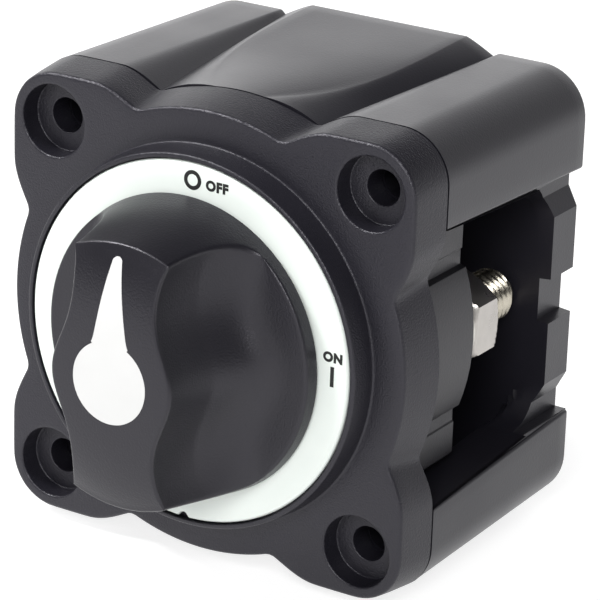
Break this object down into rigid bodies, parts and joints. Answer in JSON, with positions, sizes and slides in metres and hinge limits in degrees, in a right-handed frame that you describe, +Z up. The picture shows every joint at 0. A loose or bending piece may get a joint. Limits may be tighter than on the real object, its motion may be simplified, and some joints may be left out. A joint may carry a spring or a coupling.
{
  "type": "battery switch",
  "caption": "Square black battery disconnect switch with a lobed screw flange, a round white dial, a scooped quarter-turn knob with a white pointer, and an open-sided rear terminal cover.",
  "frame": {"origin": "centre of the case's rear face, on the dial axis", "axes": "+X right seen from the front, +Y back away from the knob, +Z up; the dial axis is the Y axis"},
  "size_m": [0.0694, 0.0722, 0.0716],
  "materials": {
    "black_moulding": "fine moulded texture",
    "knob_moulding": "satin",
    "white_moulding": "satin",
    "black_rubber": "matte",
    "natural_nylon": "satin",
    "brass": "turned",
    "copper": "copper, tumbled",
    "tin_plated_copper": "tin plated copper, rolled thread",
    "stainless_steel": "plain",
    "spring_steel": "plain"
  },
  "bodies": {
    "case": {"front_housing": "black_moulding", "terminal_base": "black_moulding", "rear_cover": "black_moulding", "housing_gasket": "black_rubber", "dial_ring": "white_moulding", "thrust_washer": "natural_nylon", "return_spring": "spring_steel", "detent_spring": "spring_steel", "terminal_stud_1": "tin_plated_copper", "terminal_stud_2": "tin_plated_copper", "terminal_stud_3": "tin_plated_copper", "terminal_stud_4": "tin_plated_copper", "stud_seal_1": "black_rubber", "stud_seal_2": "black_rubber", "stud_seal_3": "black_rubber", "stud_seal_4": "black_rubber", "lock_washer_1": "stainless_steel", "lock_washer_2": "stainless_steel", "lock_washer_3": "stainless_steel", "lock_washer_4": "stainless_steel", "terminal_nut_1": "stainless_steel", "terminal_nut_2": "stainless_steel", "terminal_nut_3": "stainless_steel", "terminal_nut_4": "stainless_steel", "housing_screw_1": "stainless_steel", "housing_screw_2": "stainless_steel", "housing_screw_3": "stainless_steel", "housing_screw_4": "stainless_steel"},
    "knob_group": {"knob": "knob_moulding", "pointer_inlay": "white_moulding", "knob_screw": "stainless_steel", "drive_shaft": "brass", "shaft_seal": "black_rubber", "shaft_clip": "spring_steel", "cam_rotor": "natural_nylon"},
    "carrier_group": {"contact_carrier": "natural_nylon", "contact_spring_1_1": "spring_steel", "contact_spring_1_2": "spring_steel", "contact_spring_2_1": "spring_steel", "contact_spring_2_2": "spring_steel"},
    "bridge_1": {"contact_bridge_1": "copper"},
    "bridge_2": {"contact_bridge_2": "copper"}
  },
  "joints": [
    {"name": "knob_turn", "type": "hinge", "parent": "case", "child": "knob_group", "pos_m": [0, -0.0489, 0], "axis": [0, 1, 0], "range_deg": [0, 90], "deforming": ["detent_spring"]},
    {"name": "carrier_slide", "type": "slide", "parent": "case", "child": "carrier_group", "axis": [0, 1, 0], "range_m": [0, 0.0025], "deforming": ["return_spring"]},
    {"name": "bridge_float_1", "type": "slide", "parent": "carrier_group", "child": "bridge_1", "axis": [0, -1, 0], "range_m": [0, 0.0005], "stiffness_N_per_m": 800, "deforming": ["contact_spring_1_1", "contact_spring_1_2"]},
    {"name": "bridge_float_2", "type": "slide", "parent": "carrier_group", "child": "bridge_2", "axis": [0, -1, 0], "range_m": [0, 0.0005], "stiffness_N_per_m": 800, "deforming": ["contact_spring_2_1", "contact_spring_2_2"]}
  ],
  "couplings": [
    {"joint": "carrier_slide", "follows": "knob_turn", "m_per_rad": 0.0015915}
  ]
}
